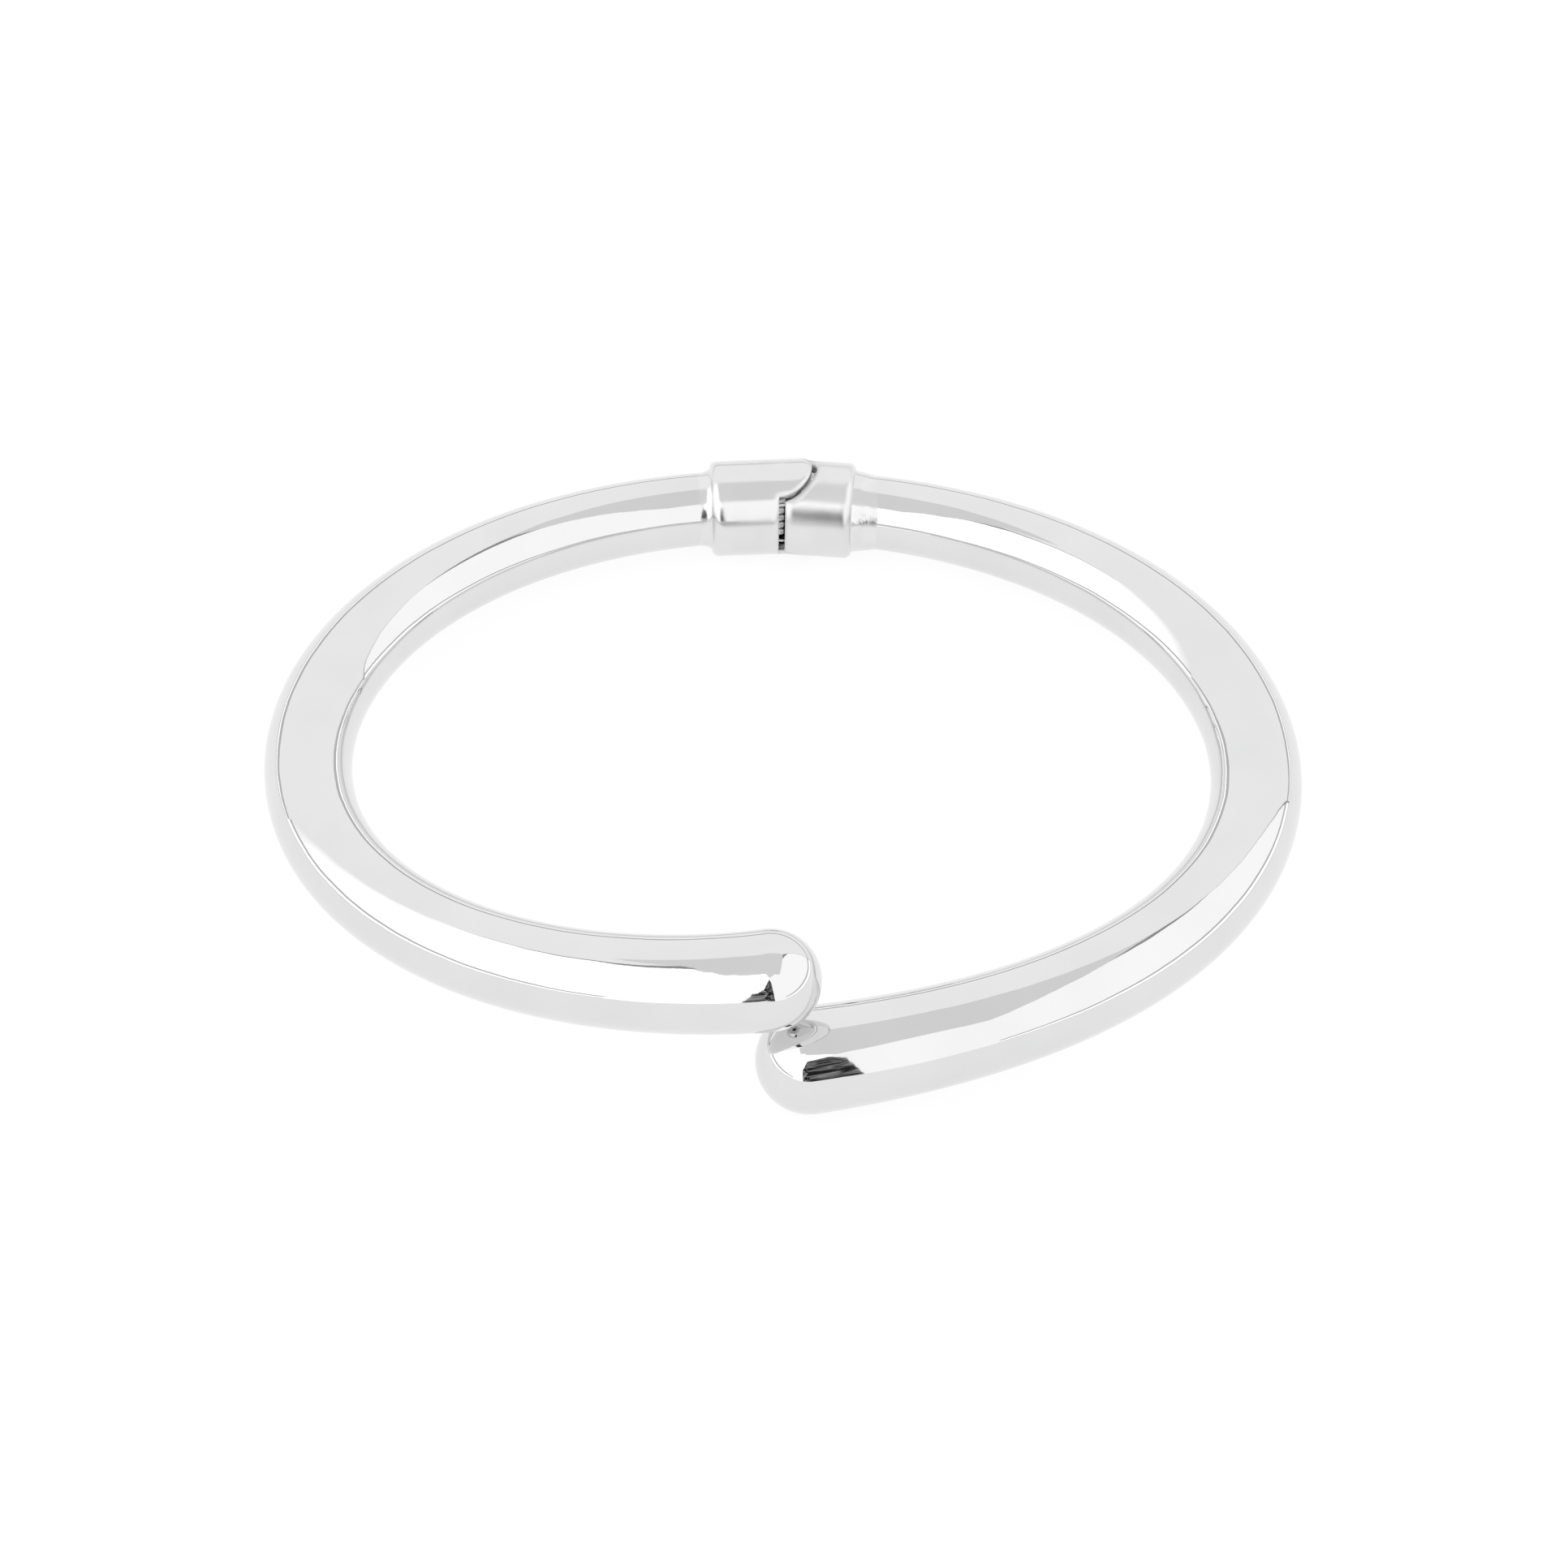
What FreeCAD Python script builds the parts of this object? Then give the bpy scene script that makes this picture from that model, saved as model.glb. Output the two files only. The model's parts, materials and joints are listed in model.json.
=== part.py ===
"""Hinged bypass bangle: two hollow tapered tube halves on a sprung hinge, with crossing domed tips.

Frame: millimetres, +Z up, origin at the centre of the wrist opening. The hinge is at the back (+Y),
the tips cross at the front (-Y), and the widest points lie on the X axis.
"""
import FreeCAD, Part
import Sketcher
import math
import os

from FreeCAD import Placement, Rotation, Vector

# name, millimetres (degrees for angles, plain ratios where the note says so), note
SIZES = [
    # the oval centre line of the tubes
    ("half_width", 32.1, "centre to centre line, sideways"),
    ("half_depth", 27.17, "centre to centre line, front and back"),
    ("corner_fullness", -0.0098, "ratio: how far the oval leans to a rounder corner"),
    ("forward_bulge", 1.257, "how far the widest points sit in front of the hinge-tip middle"),
    ("tip_lift", 3.69, "height of the left tip, and depth of the right one"),
    ("lift_power", 4.8, "ratio: how late along a half the lift sets in"),
    # the tube's section: four control radii, from the hinge to the tip
    ("hinge_radius", 2.61, "control radius at the hinge"),
    ("rear_radius", 2.82, "control radius behind the widest point"),
    ("fore_radius", 2.6, "control radius before the widest point"),
    ("tip_radius", 3.44, "control radius at the tip"),
    ("half_mismatch", 0.036, "ratio: the right tip is this much stouter, the left one slimmer"),
    ("side_widening", 0.091, "ratio: how much wider than high the section is at the sides"),
    ("tube_wall", 0.6, "thickness of the drawn tube and of the caps"),
    ("tube_start", 8.1, "degrees from the hinge to the tube's first end"),
    ("left_tip_angle", 178.5, "degrees from the hinge to the left dome's centre"),
    ("right_tip_angle", 176.55, "degrees from the hinge to the right dome's centre"),
    # the hinge barrels
    ("hinge_offset", -0.15, "the hinge's middle, sideways from the oval's"),
    ("barrel_slope", 5.0, "degrees each barrel leans to follow the oval"),
    ("barrel_radius", 3.44, "outside of the barrels"),
    ("barrel_length", 5.2, "hinge middle to a barrel's outer end"),
    ("shoulder_radius", 0.5, "rounding of a barrel's outer end"),
    ("bore_radius", 2.6, "inside of the barrels"),
    ("bore_start", 3.1, "hinge middle to the solid left barrel's bore"),
    ("gap_half", 0.22, "half the slit between the barrels"),
    ("relief_angle", 16.5, "degrees each outer face leans back, so the hinge can open"),
    ("left_neck_length", 0.75, "solder neck between left barrel and tube"),
    ("right_neck_length", 1.15, "solder neck between right barrel and tube"),
    ("neck_radius", 2.98, "neck's stout end"),
    ("neck_lip", 0.1, "thickness of the neck's thin end"),
    ("seat_radius", 2.7, "round seat of the tube in its barrel and neck"),
    ("seat_lead", 0.6, "degrees the seat begins ahead of the tube"),
    ("seat_lean_angle", 10.5, "degrees from the hinge where the tube runs as the seat does"),
    # the knuckles
    ("pin_offset", -0.3, "pin's axis, sideways from the hinge middle"),
    ("pin_outset", 0.18, "pin's axis, outwards from the barrels' axis"),
    ("pin_radius", 0.6, "rivet pin"),
    ("running_clearance", 0.05, "radial play of the pin in the inner lugs"),
    ("ear_radius", 2.4, "round ears of the left barrel"),
    ("ear_floor", 2.3, "height of the ears' inner faces"),
    ("recess_radius", 2.8, "round recess in the right barrel, around an ear"),
    ("slot_radius", 2.15, "hollow in the left barrel, around the inner lugs"),
    ("lug_radius", 2.0, "inner lugs of the right half"),
    ("lug_top", 2.23, "height of a lug's outer face"),
    ("lug_floor", 1.7, "height of a lug's inner face"),
    ("pocket_radius", 1.95, "hollow in the knuckle block, around the spring"),
    ("plug_play", 0.02, "radial play of the plugs in the barrels"),
    ("plug_end", 4.0, "hinge middle to the end of a plug"),
    ("spigot_radius", 1.7, "spigots that go into the tubes"),
    ("spigot_end", 7.5, "hinge middle to the end of a spigot"),
    # the torsion spring
    ("wire_radius", 0.3, "spring wire"),
    ("coil_radius", 1.5, "mean radius of the coils"),
    ("coil_pitch", 0.64, "rise in one turn"),
    ("coil_turns", 4, "count of turns"),
    ("leg_length", 2.6, "straight legs at both ends"),
    ("leg_hole_radius", 0.45, "holes that take the legs"),
]
SECTIONS = 17         # sections that each tube is lofted through
REACH = 8.0           # half size of a cutting block, well past the barrels
BEYOND = "1"          # how far a cutting bar goes past the face it opens
RIGHT = 1
LEFT = -1
HALF_NAME = {RIGHT: "right", LEFT: "left"}

doc = FreeCAD.newDocument("Bangle")


def make_sheet():
    """The driving dimensions, one aliased cell each."""
    sheet = doc.addObject("Spreadsheet::Sheet", "Sizes")
    for row, (name, value, note) in enumerate(SIZES, start=1):
        sheet.set(f"A{row}", name)
        sheet.set(f"B{row}", str(value))
        sheet.set(f"C{row}", note)
        sheet.setAlias(f"B{row}", name)
    doc.recompute()
    return sheet


sheet = make_sheet()


def add(kind, name, **expressions):
    """A document object whose properties follow expressions of the sheet."""
    thing = doc.addObject(kind, name)
    for prop, expression in expressions.items():
        thing.setExpression(prop, str(expression))
    return thing


def place(thing, x="0", y="0", z="0", yaw="0", pitch="0", roll="0"):
    """Bind a placement: a position and the three turns about Z, Y and X."""
    expression = f"placement(vector({x}; {y}; {z}); rotation({yaw}; {pitch}; {roll}))"
    thing.setExpression("Placement", expression)
    return thing


def cut(name, base, tool):
    result = doc.addObject("Part::Cut", name)
    result.Base = base
    result.Tool = tool
    return result


def fuse(name, *shapes):
    result = doc.addObject("Part::MultiFuse", name)
    result.Shapes = list(shapes)
    return result


# --- the halves' centre line and section, as expressions of the angle from the hinge ---

def centre_line(side, angle):
    """Position on a half's centre line."""
    x = f"{side} * Sizes.half_width * sin({angle})"
    oval = f"(cos({angle}) + Sizes.corner_fullness * cos(3 * {angle})) / (1 + Sizes.corner_fullness)"
    y = f"Sizes.half_depth * {oval} - Sizes.forward_bulge * sin({angle}) ^ 2"
    z = f"{-side} * Sizes.tip_lift * ({angle} / 180) ^ Sizes.lift_power"
    return x, y, z


def turns(side, angle):
    """Yaw and roll that stand a section across the centre line, with its X outwards."""
    run_x = f"(Sizes.half_width * cos({angle}))"
    oval = f"(sin({angle}) + 3 * Sizes.corner_fullness * sin(3 * {angle})) / (1 + Sizes.corner_fullness)"
    run_y = f"(Sizes.half_depth * {oval} + Sizes.forward_bulge * sin(2 * {angle}))"
    rise = f"(Sizes.tip_lift * Sizes.lift_power * ({angle} / 180) ^ (Sizes.lift_power - 1) / pi)"
    outwards = f"atan2({run_x}; {run_y})"
    yaw = outwards if side == RIGHT else f"180deg - {outwards}"
    roll = f"{side * 90}deg + atan({rise} / sqrt({run_x} ^ 2 + {run_y} ^ 2))"
    return yaw, roll


def section_height(side, angle):
    """Half the section's height: a cubic Bezier curve of the four control radii."""
    far = f"({angle} / 180)"
    near = f"(1 - {far})"
    curve = (f"Sizes.hinge_radius * {near} ^ 3 + 3 * Sizes.rear_radius * {far} * {near} ^ 2"
             f" + 3 * Sizes.fore_radius * {far} ^ 2 * {near} + Sizes.tip_radius * {far} ^ 3")
    return f"(({curve}) * (1 + {side} * Sizes.half_mismatch * {far}))"


def section_angle(side, index):
    """Angle of one of the evenly spaced sections."""
    last = f"Sizes.{HALF_NAME[side]}_tip_angle"
    return f"(Sizes.tube_start + ({last} - Sizes.tube_start) * {index} / {SECTIONS - 1})"


def section(side, index, inset, name):
    """An ellipse across the centre line, drawn in by the inset."""
    angle = section_angle(side, index)
    height = section_height(side, angle)
    width = f"({height} * (1 + Sizes.side_widening * (1 + cos({angle})) * sin({angle}) ^ 2))"
    ellipse = add("Part::Ellipse", f"{name}_{index}",
                  MajorRadius=f"{width} - {inset}", MinorRadius=f"{height} - {inset}")
    x, y, z = centre_line(side, angle)
    yaw, roll = turns(side, angle)
    return place(ellipse, x, y, z, yaw=yaw, roll=roll)


def tube_solid(side, inset, name):
    """A half's tapered horn, lofted through its sections."""
    loft = doc.addObject("Part::Loft", name)
    loft.Sections = [section(side, index, inset, name) for index in range(SECTIONS)]
    loft.Solid = True
    return loft


def tip_cap(side):
    """Domed end of a half: a hollow half ball on the last section."""
    half = HALF_NAME[side]
    angle = f"Sizes.{half}_tip_angle"
    yaw, roll = turns(side, angle)
    x, y, z = centre_line(side, angle)
    radius = section_height(side, angle)
    balls = []
    for name, inset in ((f"{half}_dome", "0"), (f"{half}_dome_hollow", "Sizes.tube_wall")):
        ball = add("Part::Sphere", name, Radius=f"{radius} - {inset}")
        ball.Angle1 = 0
        balls.append(place(ball, x, y, z, yaw=yaw, roll=roll))
    return cut(f"{half}_tip_cap", *balls)


# --- round pieces and blocks of the hinge ---

PIN_X = "(Sizes.hinge_offset + Sizes.pin_offset)"
PIN_Y = "(Sizes.half_depth + Sizes.pin_outset)"
PLUG_RADIUS = "Sizes.bore_radius - Sizes.plug_play"
BORE_END = f"Sizes.barrel_length + {BEYOND}"


def round_bar(side, name, radius, start, end):
    """A round bar along a barrel's axis, between two distances from the hinge's middle."""
    bar = add("Part::Cylinder", name, Radius=radius, Height=f"({end}) - ({start})")
    lean = f"{side} * Sizes.barrel_slope"
    x = f"Sizes.hinge_offset + {side} * ({start}) * cos(Sizes.barrel_slope)"
    y = f"Sizes.half_depth - ({start}) * sin(Sizes.barrel_slope)"
    return place(bar, x, y, yaw=f"-({lean})", pitch=str(side * 90))


def shouldered_bar(side, name):
    """The turned outside of a barrel: a bar past the gap, with a rounded outer end."""
    body = doc.addObject("PartDesign::Body", name)
    planes = body.Origin.OriginFeatures
    cross_plane = next(plane for plane in planes if plane.Role == "XY_Plane")
    sketch = body.newObject("Sketcher::SketchObject", f"{name}_circle")
    sketch.AttachmentSupport = (cross_plane, [""])
    sketch.MapMode = "FlatFace"
    sketch.addGeometry(Part.Circle(Vector(0, 0, 0), Vector(0, 0, 1), sheet.barrel_radius))
    sketch.addConstraint(Sketcher.Constraint("Coincident", 0, 3, -1, 1))
    radius = sketch.addConstraint(Sketcher.Constraint("Radius", 0, sheet.barrel_radius))
    sketch.setExpression(f"Constraints[{radius}]", "Sizes.barrel_radius")
    pad = body.newObject("PartDesign::Pad", f"{name}_pad")
    pad.Profile = sketch
    pad.setExpression("Length", "Sizes.barrel_length + Sizes.ear_radius")
    doc.recompute()
    end_height = sheet.barrel_length + sheet.ear_radius
    rims = [f"Edge{number}" for number, edge in enumerate(pad.Shape.Edges, start=1)
            if edge.Closed and math.isclose(edge.CenterOfMass.z, end_height)]
    shoulder = body.newObject("PartDesign::Fillet", f"{name}_shoulder")
    shoulder.Base = (pad, rims)
    shoulder.setExpression("Radius", "Sizes.shoulder_radius")
    back = "Sizes.ear_radius"
    x = f"Sizes.hinge_offset - {side} * {back} * cos(Sizes.barrel_slope)"
    y = f"Sizes.half_depth + {back} * sin(Sizes.barrel_slope)"
    return place(body, x, y, yaw=f"-({side} * Sizes.barrel_slope)", pitch=str(side * 90))


def pin_disc(name, radius, low, high):
    """A disc about the pin's axis, between two heights."""
    disc = add("Part::Cylinder", name, Radius=radius, Height=f"({high}) - ({low})")
    return place(disc, PIN_X, PIN_Y, low)


def disc_pair(name, radius, low, high):
    """Two discs about the pin, mirrored above and below the middle."""
    upper = pin_disc(f"{name}_upper", radius, low, high)
    lower = pin_disc(f"{name}_lower", radius, f"-({high})", f"-({low})")
    return fuse(name, upper, lower)


def ear_recess(name):
    """Round recess around each ear, open to the outside."""
    return disc_pair(name, "Sizes.recess_radius", "Sizes.lug_top", f"Sizes.barrel_radius + {BEYOND}")


def block(name, x, y, yaw, sideways):
    """A cutting block with its edge at x, y, on the left (-1) or right (+1) of that edge."""
    box = doc.addObject("Part::Box", name)
    box.Length = REACH
    box.Width = 2 * REACH
    box.Height = 2 * REACH
    shift = -REACH if sideways == LEFT else 0.0
    corner_x = f"{x} + {shift} * cos({yaw})"
    corner_y = f"{y} + {shift} * sin({yaw})"
    return place(box, corner_x, corner_y, str(-REACH), yaw=yaw)


def past_the_gap(side):
    """What a half's hinge pieces leave free: past the slit, and the leaning outer face."""
    half = HALF_NAME[side]
    edge = f"Sizes.hinge_offset + {side} * Sizes.gap_half"
    straight = block(f"{half}_past_slit", edge, f"(Sizes.half_depth - {REACH})", "0", -side)
    leaning = block(f"{half}_relief", edge, PIN_Y, f"{-side} * Sizes.relief_angle", -side)
    return fuse(f"{half}_past_gap", straight, leaning)


def tube_seat(side):
    """Round hole for the tube's first stretch, which leans a little more than the barrel."""
    seat = add("Part::Cylinder", f"{HALF_NAME[side]}_tube_seat", Radius="Sizes.seat_radius",
               Height="Sizes.barrel_length")
    x, y, _ = centre_line(side, "(Sizes.tube_start - Sizes.seat_lead)")
    yaw, _ = turns(side, "Sizes.seat_lean_angle")
    return place(seat, x, y, yaw=yaw, roll=str(side * 90))


def hinge_barrel_left(seat):
    """Solid cast barrel with two round ears, hollowed for the lugs, the spring and the plug."""
    ears = disc_pair("ears", "Sizes.ear_radius", "Sizes.ear_floor", f"Sizes.barrel_radius + {BEYOND}")
    beyond = cut("left_beyond", past_the_gap(LEFT), ears)
    slot = pin_disc("left_slot", "Sizes.slot_radius", "-Sizes.ear_floor", "Sizes.ear_floor")
    bore = round_bar(LEFT, "left_bore", "Sizes.bore_radius", "Sizes.bore_start", BORE_END)
    pin_hole = pin_disc("ear_holes", "Sizes.pin_radius", -REACH, REACH)
    leg_hole = spring_leg_hole(LEFT)
    hollow = fuse("left_hollow", beyond, slot, bore, pin_hole, leg_hole, seat)
    return cut("left_hinge_barrel", shouldered_bar(LEFT, "left_bar"), hollow)


def hinge_barrel_right(seat):
    """Sleeve that holds the knuckle block, with a round recess for each ear."""
    bore_start = f"-Sizes.ear_radius - {BEYOND}"
    bore = round_bar(RIGHT, "right_bore", "Sizes.bore_radius", bore_start, BORE_END)
    hollow = fuse("right_hollow", past_the_gap(RIGHT), ear_recess("barrel_recess"), bore, seat)
    return cut("right_hinge_barrel", shouldered_bar(RIGHT, "right_bar"), hollow)


def neck_ring(side, seat):
    """Cone of solder between a barrel's end and the tube it fits round."""
    half = HALF_NAME[side]
    length = f"Sizes.{half}_neck_length"
    cone = add("Part::Cone", f"{half}_neck_cone", Radius1="Sizes.neck_radius", Height=length,
               Radius2="Sizes.seat_radius + Sizes.neck_lip")
    x = f"Sizes.hinge_offset + {side} * Sizes.barrel_length * cos(Sizes.barrel_slope)"
    y = "Sizes.half_depth - Sizes.barrel_length * sin(Sizes.barrel_slope)"
    place(cone, x, y, yaw=f"-({side} * Sizes.barrel_slope)", pitch=str(side * 90))
    return cut(f"{half}_neck_ring", cone, seat)


def plug(side, start):
    """Plug in a barrel's bore, with the spigot that goes into the tube."""
    half = HALF_NAME[side]
    stout = round_bar(side, f"{half}_plug_bar", PLUG_RADIUS, start, "Sizes.plug_end")
    slim = round_bar(side, f"{half}_spigot", "Sizes.spigot_radius", start, "Sizes.spigot_end")
    return fuse(f"{half}_plug", stout, slim)


def hinge_insert_left():
    insert = plug(LEFT, "Sizes.bore_start")
    insert.Label = "left_hinge_insert"
    return insert


def hinge_insert_right():
    """Knuckle block: a plug hollowed for the spring, with two lugs that turn on the pin."""
    pocket = pin_disc("spring_pocket", "Sizes.pocket_radius", "-Sizes.lug_floor", "Sizes.lug_floor")
    recess = ear_recess("block_recess")
    hollow = fuse("block_hollow", doc.right_past_gap, recess, pocket, spring_leg_hole(RIGHT))
    stem = cut("block_stem", plug(RIGHT, "0"), hollow)
    lugs = doc.addObject("Part::Common", "lugs")
    lugs.Base = disc_pair("lug_discs", "Sizes.lug_radius", "Sizes.lug_floor", "Sizes.lug_top")
    lugs.Tool = round_bar(RIGHT, "lug_outside", PLUG_RADIUS, -REACH, REACH)
    pin_bore = pin_disc("lug_bores", "Sizes.pin_radius + Sizes.running_clearance", -REACH, REACH)
    return cut("right_hinge_insert", fuse("block", stem, lugs), pin_bore)


def hinge_pin():
    """Rivet pin, ground flush with the barrels' round top and bottom."""
    rod = pin_disc("pin_rod", "Sizes.pin_radius", -REACH, REACH)
    outside = round_bar(LEFT, "flush_outside", "Sizes.barrel_radius", -REACH, REACH)
    pin = doc.addObject("Part::Common", "hinge_pin")
    pin.Base = outside
    pin.Tool = rod
    return pin


def coil_end_height():
    return "(Sizes.coil_pitch * Sizes.coil_turns / 2)"


def spring_leg_hole(side):
    """Drilled hole for a spring leg, level, at the height of the leg's middle."""
    half = HALF_NAME[side]
    drop = "(Sizes.leg_length * Sizes.coil_pitch / (4 * pi * Sizes.coil_radius))"
    hole = add("Part::Cylinder", f"{half}_leg_hole", Radius="Sizes.leg_hole_radius",
               Height="Sizes.leg_length + Sizes.wire_radius")
    height = f"{side} * ({coil_end_height()} + {drop})"
    return place(hole, PIN_X, f"{PIN_Y} - Sizes.coil_radius", height, pitch=str(side * 90))


def torsion_spring():
    """Coils about the pin. The left leg leaves from the lowest turn, the right leg from the highest."""
    rise = sheet.coil_pitch * sheet.coil_turns
    helix = Part.makeHelix(sheet.coil_pitch, rise, sheet.coil_radius)
    helix.rotate(Vector(0, 0, 0), Vector(0, 0, 1), -90)
    slope = math.atan2(sheet.coil_pitch, 2 * math.pi * sheet.coil_radius)
    along = Vector(math.cos(slope), 0, math.sin(slope))
    low = Vector(0, -sheet.coil_radius, 0)
    high = low + Vector(0, 0, rise)
    left_leg = Part.makeLine(low - along * sheet.leg_length, low)
    right_leg = Part.makeLine(high, high + along * sheet.leg_length)
    path = doc.addObject("Part::Feature", "spring_path")
    path.Shape = Part.Wire([left_leg] + helix.Edges + [right_leg])
    wire_end = add("Part::Circle", "wire_end", Radius="Sizes.wire_radius")
    wire_end.Placement = Placement(low - along * sheet.leg_length, Rotation(Vector(0, 0, 1), along))
    sweep = doc.addObject("Part::Sweep", "torsion_spring")
    sweep.Sections = [wire_end]
    sweep.Spine = (path, [f"Edge{number}" for number in range(1, len(path.Shape.Edges) + 1)])
    sweep.Solid = True
    sweep.Frenet = False
    return place(sweep, PIN_X, PIN_Y, f"-{coil_end_height()}")


def build():
    """Every sub-part, by the name of its file."""
    parts = []
    for side in (RIGHT, LEFT):
        half = HALF_NAME[side]
        horn = tube_solid(side, "0", f"{half}_horn")
        hollow = tube_solid(side, "Sizes.tube_wall", f"{half}_horn_hollow")
        parts.append(cut(f"{half}_tube", horn, hollow))
        parts.append(tip_cap(side))
        seat = tube_seat(side)
        parts.append(neck_ring(side, seat))
        parts.append(hinge_barrel_right(seat) if side == RIGHT else hinge_barrel_left(seat))
        parts.append(hinge_insert_right() if side == RIGHT else hinge_insert_left())
    parts.append(hinge_pin())
    parts.append(torsion_spring())
    return parts


def check(parts):
    """Stop if any object failed or a sub-part isn't one sound solid."""
    for thing in doc.Objects:
        if "Invalid" in thing.State or "Error" in thing.State:
            raise RuntimeError(f"{thing.Name} failed: {thing.State}")
    for part in parts:
        shape = part.Shape
        if shape.isNull() or not shape.isValid() or len(shape.Solids) != 1:
            raise RuntimeError(f"{part.Label} isn't one sound solid")


parts = build()
doc.recompute()
check(parts)
os.makedirs("parts", exist_ok=True)
for part in parts:
    part.Shape.exportStep(f"parts/{part.Label}.step")
    print(f"{part.Label}: {part.Shape.Volume:.2f} mm3")
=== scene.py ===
"""Looks of the hinged bypass bangle, in metres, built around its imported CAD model."""
import json
from math import cos, pi, radians, sin, tan

import bpy
import numpy as np
from mathutils import Matrix, Vector


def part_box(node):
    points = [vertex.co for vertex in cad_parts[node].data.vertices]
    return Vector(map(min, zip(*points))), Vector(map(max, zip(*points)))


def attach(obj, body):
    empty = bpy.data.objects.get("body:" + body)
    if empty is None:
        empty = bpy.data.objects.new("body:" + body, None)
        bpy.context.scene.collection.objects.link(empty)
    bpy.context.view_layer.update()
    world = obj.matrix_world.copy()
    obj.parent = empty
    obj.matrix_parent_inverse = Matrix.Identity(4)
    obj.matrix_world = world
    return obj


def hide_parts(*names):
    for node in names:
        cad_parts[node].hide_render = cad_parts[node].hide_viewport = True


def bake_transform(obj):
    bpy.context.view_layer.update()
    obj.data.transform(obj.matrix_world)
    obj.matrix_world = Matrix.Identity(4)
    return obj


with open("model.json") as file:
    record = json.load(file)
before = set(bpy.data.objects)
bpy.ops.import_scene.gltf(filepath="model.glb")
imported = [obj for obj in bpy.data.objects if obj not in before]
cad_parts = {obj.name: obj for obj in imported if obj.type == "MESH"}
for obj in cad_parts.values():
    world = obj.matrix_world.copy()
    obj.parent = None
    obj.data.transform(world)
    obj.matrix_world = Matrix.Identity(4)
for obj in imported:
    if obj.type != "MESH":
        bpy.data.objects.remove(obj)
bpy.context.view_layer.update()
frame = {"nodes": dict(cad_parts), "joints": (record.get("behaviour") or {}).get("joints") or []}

MM = 0.001
MICRON = 1e-6
RIGHT = 1
LEFT = -1
HALF_NAME = {RIGHT: "right", LEFT: "left"}

# The oval centre line of the tubes, as in the CAD
HALF_WIDTH = 32.1 * MM
HALF_DEPTH = 27.17 * MM
CORNER_FULLNESS = -0.0098
FORWARD_BULGE = 1.257 * MM
TIP_LIFT = 3.69 * MM
LIFT_POWER = 4.8

# The tubes' section: control radii from the hinge to the tip, and how much wider the sides are
CONTROL_RADII = (2.61 * MM, 2.82 * MM, 2.6 * MM, 3.44 * MM)
HALF_MISMATCH = 0.036
SIDE_WIDENING = 0.091
TUBE_START = radians(8.1)
TIP_ANGLE = {LEFT: radians(178.5), RIGHT: radians(176.55)}

# The torsion spring
HINGE = Vector(frame["joints"][0]["pos_m"])
WIRE_RADIUS = 0.3 * MM
COIL_RADIUS = 1.5 * MM
COIL_PITCH = 0.64 * MM
COIL_TURNS = 4
LEG_LENGTH = 2.6 * MM

# The hinge: x of its middle, the barrels' slope and length, and how far edges look rounded, on
# the barrels (except around the pin, which is ground flush) and on the knuckle
HINGE_OFFSET = -0.15 * MM
BARREL_SLOPE = radians(5)
BARREL_LENGTH = 5.2 * MM
BARREL_EDGE = 0.75 * MM
PIN_SURROUND = 1.5 * MM
KNUCKLE_EDGE = 0.06 * MM
BEVEL_SAMPLES = 12

# The solder necks. The lean makes them longer on the inside of the bend, the hollow bends their
# sides in (0 straight, 1 into the corner of barrel and tube), and waves of (count, phase) round
# the tube make their ends uneven. Places along the tube are looked up among NECK_SEARCH's angles.
NECK_RADIUS = 2.98 * MM
NECK_LENGTH = {LEFT: 0.85 * MM, RIGHT: 1.6 * MM}
NECK_OVERLAP = 0.02 * MM
NECK_LEAN = 0.35
NECK_HOLLOW = {LEFT: 0.7, RIGHT: 0.05}
NECK_UNEVENNESS = 0.12 * MM
NECK_WAVES = ((3, 0.4), (5, 2.1), (8, 1.0))
NECK_SEARCH = np.linspace(0, radians(30), 400)

# How finely the formula-built pieces are meshed
TUBE_RINGS = 480
RING_POINTS = 128
DOME_RINGS = 48
POLE_GAP = 1e-3
NECK_RINGS = 20
WIRE_POINTS = 24
TURN_POINTS = 48
LEG_POINTS = 12

# Steps in angle for slopes that are taken by differences
SLOPE_STEP = 1e-4
FLARE_STEP = 1e-3

# The metals: darkest and palest colour of each
TUBE_TONES = ((0.71, 0.71, 0.712), (0.74, 0.74, 0.738))
BARREL_TONES = ((0.705, 0.705, 0.707), (0.745, 0.745, 0.743))
SOLDER_TONES = ((0.725, 0.725, 0.723), (0.765, 0.765, 0.763))
KNUCKLE_TONES = ((0.66, 0.66, 0.65), (0.8, 0.8, 0.79))
WIRE_TONES = ((0.5, 0.5, 0.51), (0.7, 0.7, 0.71))

# The metals: roughness at one end of each one's pattern and at the other
TUBE_ROUGHNESS = (0.02, 0.05)
LEFT_BARREL_ROUGHNESS = (0.06, 0.15)
RIGHT_BARREL_ROUGHNESS = (0.2, 0.27)
SOLDER_ROUGHNESS = (0.22, 0.1)
KNUCKLE_ROUGHNESS = (0.18, 0.34)
WIRE_ROUGHNESS = (0.12, 0.28)

# Most of a noise texture's values lie between these two
NOISE_RANGE = (0.3, 0.7)

# The photographed view: camera distance, height above the bangle's plane, and small tilts
CAMERA_DISTANCE = 0.321
CAMERA_ELEVATION = radians(40)
CAMERA_ROLL = 0.0047
BANGLE_LEAN = -0.0115
LENS_MM = 108.27
SENSOR_MM = 36.0
SHIFT_X = 0.0007
SHIFT_Y = -0.0235
CLIP_START = 0.01
CLIP_END = 20.0


# --- meshes ---

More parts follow.
